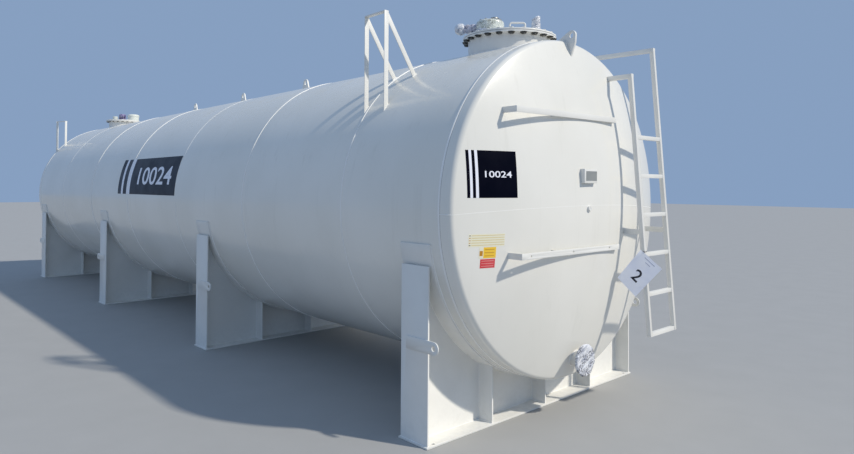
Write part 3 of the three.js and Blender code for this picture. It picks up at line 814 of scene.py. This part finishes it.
def build_cover_fittings():
    """On the near cover: the filling valve with its wrapped branch, a handle and a wrapped vent."""
    x, y, drum_height = *VALVE_PLACE, 0.133
    drum = [(0, 0), (0.108, 0), (0.110, 0.03), (0.1125, 0.06), (0.1138, 0.085), (0.1138, 0.101),
            (0.1115, 0.115), (0.106, 0.124), (0.098, 0.130), (0.088, drum_height), (0, drum_height)]
    place, folds = upright(x, y, COVER_TOP), (0.0012, 26, 4)
    wrapping("filling_valve_drum", drum, place, 72, folds, "green_film", ("filling_valve",), "white_paint")
    top = COVER_TOP + drum_height
    hub = [(0, -0.004), (0.056, -0.004), (0.056, 0.009), (0.052, 0.013), (0.034, 0.015), (0.031, 0.027),
           (0.027, 0.029), (0, 0.029)]
    hub = turned(hub, upright(x + 0.025, y + 0.027, top), steps=48)
    piece_of("filling_valve_hub", hub, "screws", smooth=35)
    screw = mesh_of("screw", combined(disc(0.0075, -0.004, 0.003, 14), hexagon(0.012, 0.003, 0.007)))
    screws = RING.grow("filling_valve_screws", screw, "screws", Count=10, Ring_radius=0.088, Seed=4)
    screws.data.transform(upright(x, y, top))
    dressed(screws, "screws")

    mouth = Vector((*BRANCH_MOUTH, COVER_TOP + 0.084))
    root = Vector((x, y, mouth.z))
    place, reach = between(root, mouth), (mouth - root).length
    branch = [(0.034 + 0.0025 * sin(step * 1.3), 0.08 + (reach - 0.105) * step / 14) for step in range(15)]
    branch = [(0, 0.08), *branch, (0, reach - 0.02)]
    wrapping("filling_branch_film", branch, place, 48, (0.0025, 42, 3), "grey_film")
    turns, ball_radius = [pi * step / 20 for step in range(1, 20)], 0.0475
    ball = [(ball_radius * sin(a), reach - ball_radius * cos(a)) for a in turns]
    ball = [(0, reach - 0.047), *ball, (0, reach + 0.047)]
    wrapping("filling_branch_ball", ball, place, 48, (0.0045, 30, 6), "white_film")
    skirt = [(0.118 - 0.006 * step / 8, 0.004 + 0.05 * step / 8) for step in range(9)]
    skirt, place = [(0, 0.001), *skirt, (0, 0.055)], upright(x - 0.012, y - 0.006, COVER_TOP)
    wrapping("filling_valve_skirt", skirt, place, 72, (0.004, 30, 9), "film")

    first, second = HANDLE_FEET
    height = COVER_TOP + 0.070
    corners = [(*first, COVER_TOP), (*first, height), (*second, height), (*second, COVER_TOP)]
    tube("lifting_handle", rounded_corners(corners, 0.02), 0.0155, "steel", ("cover_handle",))
    feet = [[(*spot, COVER_TOP) for spot in circle(*foot, 0.008, 12)] for foot in HANDLE_FEET]
    weld("handle_welds", feet, 0.005, 0.006)

    vent = [(0, 0), (0.041, 0.001), (0.039, 0.012)]
    for step in range(24):
        rise = step / 23
        vent.append((0.037 - 0.005 * rise + 0.0018 * sin(step * 2.1), 0.016 + 0.104 * rise))
    vent += [(0.025, 0.127), (0.014, 0.131), (0, 0.13)]
    shape = turned(vent, upright(VENT_X, 0, COVER_TOP), steps=40)
    for vertex in shape.verts:
        lean = (vertex.co.z - COVER_TOP - 0.06) / 0.07
        if lean > 0:
            sideways = 0.68 * (vertex.co.x - VENT_X) + 0.73 * vertex.co.y
            vertex.co.z += lean * (0.42 * sideways - 0.006)
    wrinkled(shape, 0.003, 48, 5)
    piece_of("vent_wrapping", shape, "white_film", ("vent_stub",), "clear_film", smooth=50)


def standing(node):
    """A place at the middle of a node's foot, and the node's height."""
    low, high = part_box(node)
    return upright(*middle_of(node).xy, low.z), high.z - low.z


def build_far_fittings():
    """On the far cover: a valve drum, a pipe end in dark film and a small cap."""
    drum = [(0, 0), (0.104, 0), (0.104, 0.014), (0.098, 0.018), (0.096, 0.07), (0.103, 0.08), (0.104, 0.098),
            (0.1, 0.110), (0.09, 0.118), (0.08, 0.122), (0.05, 0.124), (0, 0.124)]
    drum = turned(drum, upright(manhole_place("far")[0] + 0.09, 0.15, COVER_TOP), steps=64)
    piece_of("far_valve_body", drum, "valve", ("far_valve",), smooth=35)
    place, tall = standing("far_pipe_stub")
    stub = [(0.064 + 0.003 * sin(step * 1.7) - 0.004 * step / 20, (tall - 0.025) * step / 20)
            for step in range(21)]
    stub = [(0, 0), *stub, (0.048, tall - 0.008), (0.03, tall - 0.002), (0, tall - 0.001)]
    wrapping("far_pipe_film", stub, place, 40, (0.004, 30, 12), "purple_film", ("far_pipe_stub",))
    place, tall = standing("far_cap")
    cap = [(0, 0), (0.046, 0), (0.046, 0.012), (0.041, 0.016), (0.041, tall - 0.03), (0.045, tall - 0.026),
           (0.045, tall - 0.006), (0.04, tall), (0, tall)]
    piece_of("far_cap_plug", turned(cap, place, steps=40), "valve", ("far_cap",), smooth=35)


def skin(name, surface, across, up, lift, finish, cells, slot="white_paint", thickness=SHEET, nodes=()):
    """A thin closed sheet on a surface, between two places across it and two up it."""
    shape = bmesh.new()
    columns, rows = cells
    rims = []
    for height in (lift, lift - thickness):
        grid = []
        for column in range(columns + 1):
            line = []
            for row in range(rows + 1):
                point, out = surface(across[0] + (across[1] - across[0]) * column / columns,
                                     up[0] + (up[1] - up[0]) * row / rows)
                line.append(shape.verts.new(point + out * height))
            grid.append(line)
        for first, second in zip(grid, grid[1:]):
            for row in range(rows):
                shape.faces.new((first[row], second[row], second[row + 1], first[row + 1]))
        lower, upper = [line[0] for line in grid], [line[-1] for line in grid]
        rims.append(lower + grid[-1][1:] + upper[-2::-1] + grid[0][-2:0:-1])
    joined(shape, *rims)
    piece_of(name, shape, finish, nodes, slot, smooth=50)


def figures(name, text, surface, centre, height, unit, finish, lift, width=None, slice_step=0.02):
    """Plain figures lying on a surface. unit is how much the surface's second place changes in a metre."""
    curve = bpy.data.curves.new(name, "FONT")
    curve.body, curve.size, curve.offset, curve.resolution_u = text, 1.0, 0.010, 6
    writing = placed(name, curve)
    mesh = evaluated_mesh(writing)
    bpy.data.objects.remove(writing)
    shape = bmesh.new()
    shape.from_mesh(mesh)
    bmesh.ops.remove_doubles(shape, verts=shape.verts, dist=1e-4)
    xs, ys = [v.co.x for v in shape.verts], [v.co.y for v in shape.verts]
    tall = height / (max(ys) - min(ys))
    wide = width / (max(xs) - min(xs)) if width else tall
    middle = Vector(((max(xs) + min(xs)) / 2, (max(ys) + min(ys)) / 2, 0))
    sized = Matrix.Diagonal((wide, tall, 1, 1)) @ Matrix.Translation(-middle)
    bmesh.ops.transform(shape, matrix=sized, verts=shape.verts)
    for direction in (Vector((1, 0, 0)), Vector((0, 1, 0))):
        for step in range(-40, 41):
            whole = list(shape.verts) + list(shape.edges) + list(shape.faces)
            spot = direction * step * slice_step
            bmesh.ops.bisect_plane(shape, geom=whole, plane_co=spot, plane_no=direction)
    made = bmesh.ops.extrude_face_region(shape, geom=list(shape.faces), use_keep_orig=True)
    raised = {v for v in made["geom"] if isinstance(v, bmesh.types.BMVert)}
    for vertex in shape.verts:
        point, out = surface(centre[0] + vertex.co.x, centre[1] + vertex.co.y * unit)
        vertex.co = point + out * (lift if vertex in raised else lift - SHEET)
    piece_of(name, shape, finish, smooth=50)


def build_end_labels():
    """On the near end: the dark panel with its stripes, and the colour stickers."""
    def sheet(name, *rest):
        skin(name, on_end, *rest)

    up = END_PANEL_HEIGHTS
    sheet("end_label_white", (END_STRIPES[0][0], END_PANEL[0] + 0.01), up, UNDERLAY, "panel_white", (16, 14))
    sheet("end_label_panel", END_PANEL, up, PANEL_LIFT, "panel", (14, 14))
    for number, stripe in enumerate(END_STRIPES, 1):
        sheet(f"end_label_stripe_{number}", stripe, up, PANEL_LIFT, "panel", (5, 14))
    middle = (sum(END_PANEL) / 2 + 0.003, sum(up) / 2)
    figures("end_label_figures", LABEL_FIGURES, on_end, middle, 0.041, 1.0, "panel_white", FIGURE_LIFT, 0.20)

    sheet("lined_sticker", LINED_STICKER, LINED_STICKER_HEIGHTS, UNDERLAY, "cream", (14, 6))
    for line in range(5):
        middle = 1.3025 + 0.0152 * line
        up = (middle - 0.0022, middle + 0.0022)
        sheet(f"lined_sticker_line_{line + 1}", (-1.106, -0.870), up, PANEL_LIFT, "ochre", (14, 2))
        colour = "black" if line in (0, 4) else "amber"
        sheet(f"lined_sticker_mark_{line + 1}", (-1.123, -1.112), up, PANEL_LIFT, colour, (2, 2))
    sheet("yellow_sticker", YELLOW_STICKER, YELLOW_HEIGHTS, STICKER_LIFT, "yellow", (8, 6))
    sheet("yellow_sticker_side", (-1.050, YELLOW_STICKER[0]), YELLOW_HEIGHTS, STICKER_LIFT, "cream", (4, 6))
    sheet("yellow_sticker_mark", (-1.046, -1.024), (1.234, 1.266), PRINT_LIFT, "amber", (3, 3))
    sheet("red_sticker", RED_STICKER, RED_HEIGHTS, STICKER_LIFT, "red", (8, 6))
    prints = [("yellow", -1.010, YELLOW_HEIGHTS, "amber"), ("red", -1.030, RED_HEIGHTS, "pink")]
    for word, left, (low, high), colour in prints:
        for line in range(3):
            middle = low + (high - low) * (line + 0.75) / 3.5
            up = (middle - 0.002, middle + 0.002)
            sheet(f"{word}_sticker_line_{line + 1}", (left, -0.942), up, PRINT_LIFT, colour, (6, 1))


def build_side_labels():
    """On each flank: the dark panel with its stripes and number."""
    up = SIDE_PANEL_ANGLES
    for word, surface in (("left", on_left_flank), ("right", on_right_flank)):
        label = f"side_label_{word}"
        skin(f"{label}_panel", surface, SIDE_PANEL, up, PANEL_LIFT, "side_panel", (24, 24))
        for number, stripe in enumerate(SIDE_STRIPES, 1):
            skin(f"{label}_stripe_{number}", surface, stripe, up, PANEL_LIFT, "side_panel", (3, 24))
        white = (SIDE_STRIPES[0][1], SIDE_PANEL[0] + 0.01)
        skin(f"{label}_white", surface, white, up, UNDERLAY, "panel_white", (8, 24))
        centre, look = (sum(SIDE_PANEL) / 2 + 0.05, sum(up) / 2), ("panel_white", FIGURE_LIFT)
        figures(f"{label}_figures", LABEL_FIGURES, surface, centre, 0.218, 1 / RADIUS, *look, 1.07, 0.03)


def on_tag(across, up):
    """The tag's sheet: flat between its corners, bellied a little, its tied corner bent back."""
    sideways = Vector((0, 0, 1)).cross(TAG_FACING).normalized()
    upwards = TAG_FACING.cross(sideways)
    left, bottom, top, right = [TAG_KNOT + sideways * x + upwards * y for x, y in TAG_CORNERS]
    point = left.lerp(bottom, across).lerp(top.lerp(right, across), up)
    belly = 0.0012 * sin(pi * across) * sin(pi * up)
    tied = max(0.0, 1 - hypot(across * TAG_WIDTH, (1 - up) * TAG_HEIGHT) / 0.045)
    return point + TAG_FACING * (0.0010 + belly - 0.006 * tied**1.5), TAG_FACING


def on_tag_in_metres(across, up):
    return on_tag(across / TAG_WIDTH, up / TAG_HEIGHT)


def build_tag():
    """The sheet of the tag, its print, and the tie round the ladder's stile."""
    whole = (0.0, 1.0)
    skin("tag_sheet", on_tag, whole, whole, 0.0004, "paper", (20, 24), "clear_film", 0.0007, ("paper_tag",))
    figures("tag_figure", TAG_FIGURE, on_tag_in_metres, (0.097, 0.118), 0.090, 1.0, "black", 0.0009)
    for number, across, low in ((1, (0.29, 0.755), 0.905), (2, (0.42, 0.64), 0.82)):
        skin(f"tag_print_{number}", on_tag, across, (low, low + 0.02), STICKER_LIFT, "faint", (6, 1))
    depth, width = STILE_DEPTH / 2 + 0.002, STILE_WIDTH / 2 + 0.002
    front, back, left, right = STILE_X + depth, STILE_X - depth, STILE_Y - width, STILE_Y + width
    loop = [(front + 0.002, left - 0.010, -0.004), (front, left, 0), (front, right, 0.002),
            (back, right, 0.005), (back, left, 0.005), (front, left, 0.003)]
    loop = rounded_corners([(x, y, TAG_KNOT_Z + z) for x, y, z in loop], 0.003, 3)
    tube("tag_tie", loop, 0.004, "black", sides=8)


def build_outlet():
    """The drain's flange, hidden by wrinkled film that is gathered behind it."""
    softened("outlet_nozzle")
    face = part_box("outlet_cover")[1].x
    profile = [(0, 0.0)] + [(0.106 * step / 16, -0.0004 * step / 16) for step in range(1, 17)]
    profile += [(0.1115, -0.002), (0.1140, -0.006), (0.1148, -0.011), (0.1145, -0.017), (0.1130, -0.022),
                (0.1080, -0.026), (0.0960, -0.029), (0.0820, -0.033), (0.0720, -0.038), (0.0660, -0.046),
                (0.0630, -0.056), (0, -0.056)]
    shape = turned(profile, along_x(face, 0, OUTLET_HEIGHT), steps=120)
    for vertex in shape.verts:
        y, z = vertex.co.y, vertex.co.z - OUTLET_HEIGHT
        distance, angle = hypot(y, z), atan2(z, y)
        behind = min(max((face - vertex.co.x - 0.008) / 0.02, 0), 1)
        if distance > 1e-4:
            pleat = 1 + 0.0022 * behind * sin(angle * 26 + 2 * sin(angle * 3)) / distance
            vertex.co.y, vertex.co.z = y * pleat, OUTLET_HEIGHT + z * pleat
    wrinkled(shape, 0.0036, 24, 7)
    wrinkled(shape, 0.0018, 70, 2)
    piece_of("outlet_wrapping", shape, "film", ("outlet_cover",), "clear_film", smooth=60)
    foot = [on_end(*spot)[0] for spot in circle(0, OUTLET_HEIGHT, 0.058, 40)]
    weld("outlet_weld", [foot], 0.009, 0.01)


def build_head_fittings():
    """The two rails, the nameplate bracket and the earthing boss."""
    softened("head_rail_upper", edge=0.0012)
    face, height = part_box("head_rail_lower")[1].x, middle_of("head_rail_lower").z
    holes = [disc(0.0075, -0.02, 0.01, 20, along_x(face, y, height)) for y in (-0.742, -0.270, 0.190)]
    softened("head_rail_lower", edge=0.0012, cut=combined(*holes))
    softened("nameplate_bracket", edge=0.001)
    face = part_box("nameplate_bracket")[1].x

    def on_bracket(y, z):
        return Vector((face, y, z)), Vector((1, 0, 0))

    across, up = (-0.145, -0.011), (1.717, 1.784)
    skin("nameplate_inset", on_bracket, across, up, 0.0015, "grey", (2, 2), thickness=0.0025)
    rivet = [(0, 0), (0.0032, 0.0), (0.0026, 0.0016), (0, 0.0024)]
    rivets = [turned(rivet, along_x(face + 0.001, y, z), steps=12)
              for y in (-0.139, -0.017) for z in (1.722, 1.779)]
    piece_of("nameplate_rivets", combined(*rivets), "screws")

    y, z = middle_of("earth_boss").yz
    start, end = head_depth(hypot(y, z - AXIS_Z)) - 0.004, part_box("earth_boss")[1].x - NEAR_SEAM
    boss = [(0, start), (0.02, start), (0.02, end - 0.0025), (0.0175, end), (0.008, end),
            (0.007, end - 0.0015), (0, end - 0.0015)]
    piece_of("earthing_boss", turned(boss, along_x(NEAR_SEAM, y, z), steps=48), "steel", ("earth_boss",))
    collar = [on_end(*spot)[0] for spot in circle(y, z, 0.021, 24)]
    weld("boss_weld", [collar], 0.005, 0.006)


def angle_bar(shape, top, foot, width, side, inset=0.0):
    """Adds a bar of angle section, cut to the shell: one leaf to the near end, one towards the middle."""
    half, plate = width / 2, GUARD_PLATE
    along = (foot - top).normalized()
    across = along.cross(Vector((1, 0, 0))).normalized()
    if across.y * side > 0:
        across.negate()
    inner = half - plate
    outline = [(-half, half), (half, half), (half, -half), (inner, -half), (inner, inner), (-half, inner)]
    rings = ([], [])
    for sideways, forward in outline:
        begin = top + across * sideways + Vector((forward - inset, 0, 0))
        outside, inside = 0.0, (foot - top).length
        for _ in range(30):
            middle = (outside + inside) / 2
            point = begin + along * middle
            if hypot(point.y, point.z - AXIS_Z) > RADIUS - 0.001:
                outside = middle
            else:
                inside = middle
        rings[0].append(shape.verts.new(begin))
        rings[1].append(shape.verts.new(begin + along * inside))
    joined(shape, *rings)
    for ring in rings:
        for corners in ((0, 1, 4, 5), (1, 2, 3, 4)):
            shape.faces.new([ring[corner] for corner in corners])


def build_guard(node, side, legs, width, braced):
    """A guard frame on the flank: legs, the braces behind them and the flat tie across the top."""
    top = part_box(node)[1].z
    shape = bmesh.new()
    for offset, foot_y in legs:
        x, y = NEAR_SEAM - offset, side * foot_y
        angle_bar(shape, Vector((x, y, top)), Vector((x, y, AXIS_Z + RADIUS / 2)), width, side)
        if braced:
            start = Vector((x, y, top - width / 2))
            lean = (Vector((x, side * BRACE_Y, BRACE_FOOT_Z)) - start).normalized()
            angle_bar(shape, start + lean * width / 4, start + lean * 0.7, width, side, 0.0006)
    tops = [Vector((NEAR_SEAM - offset, side * foot_y, top)) for offset, foot_y in legs]
    along = (tops[1] - tops[0]).normalized()
    across = Vector((-along.y, along.x, 0)) * (width / 2 - 0.0004)
    near, far = [end - along * (width / 2 - inset) for end, inset in zip(tops, (0.0004, 0.005))]
    loops = []
    for drop in (0.0005, 0.011):
        corners = (near - across, far - across, far + across, near + across)
        loops.append([shape.verts.new(corner - Vector((0, 0, drop))) for corner in corners])
        shape.faces.new(loops[-1])
    joined(shape, *loops)
    piece_of(f"{node}_frame", shape, "steel", (node,), edge=0.001)


def angle_foot(x, y, half, side):
    """A line along both leaves of an angle bar's foot, on the shell."""
    corners = [(x + half, y + side * half), (x + half, y - side * half), (x - half, y - side * half)]
    return [on_shell(*corner) for corner in corners]


def build_bars():
    """Ladder, guards and lugs, with the beads that hold them."""
    softened("ladder", edge=0.0035)
    feet = []
    for side, word in ((-1, "left"), (1, "right")):
        build_guard(f"guard_near_{word}", side, NEAR_GUARD, NEAR_GUARD_WIDTH, True)
        build_guard(f"guard_far_{word}", side, FAR_GUARD, FAR_GUARD_WIDTH, False)
        places = []
        for offset, leg_y in NEAR_GUARD:
            places += [(offset, leg_y, 0.0205), (offset, BRACE_Y, 0.0215)]
        # The far frame's second leg stands beyond the seam and has no bead
        places.append((*FAR_GUARD[0], 0.018))
        feet += [angle_foot(NEAR_SEAM - offset, side * y, half, side) for offset, y, half in places]
    lugs = []
    for number in range(1, 4):
        softened(f"top_lug_{number}", edge=0.0018)
        low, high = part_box(f"top_lug_{number}")
        for face in (low.y, high.y):
            lugs.append([on_shell(low.x, face), on_shell(high.x, face)])
    for word in ("near", "far"):
        softened(f"lifting_lug_{word}", edge=0.002)
    weld("guard_foot_welds", feet, 0.006, 0.008)
    weld("lug_welds", lugs, 0.008, 0.012)


def set_stage():
    """A plain pale floor, the lamp and the sky."""
    shape = bmesh.new()
    bmesh.ops.create_grid(shape, x_segments=1, y_segments=1, size=60)
    floor = placed("floor", mesh_of("floor", shape))
    floor.location.z = -0.001
    board = Board("floor_grey")
    grain = board.noise(3, 6)
    colour = board.mixed(grain, (166, 166, 165), (174, 174, 173))
    floor.data.materials.append(board.finish(colour, 0.8))

    lamp = bpy.data.lights.new("sun_side_lamp", "SUN")
    lamp.energy, lamp.angle, lamp.color = SUN_STRENGTH, SUN_WIDTH, SUN_TINT
    stand = placed("sun_side_lamp", lamp)
    stand.rotation_mode = "QUATERNION"
    stand.rotation_quaternion = SUN_DIRECTION.to_track_quat("Z", "Y")

    world = bpy.data.worlds.new("pale_sky")
    world.use_nodes = True
    background = world.node_tree.nodes["Background"]
    background.inputs["Color"].default_value = SKY_TINT
    background.inputs["Strength"].default_value = SKY_STRENGTH
    bpy.context.scene.world = world
    bpy.context.scene.view_settings.view_transform = "Standard"


set_camera()
set_stage()
build_wall()
build_wall_welds()
build_pads()
build_saddles()
build_manhole("near", 24, 0.046, 11)
build_manhole("far", 20, 0.034, 12)
build_cover_fittings()
build_far_fittings()
build_bars()
build_head_fittings()
build_outlet()
build_end_labels()
build_side_labels()
build_tag()
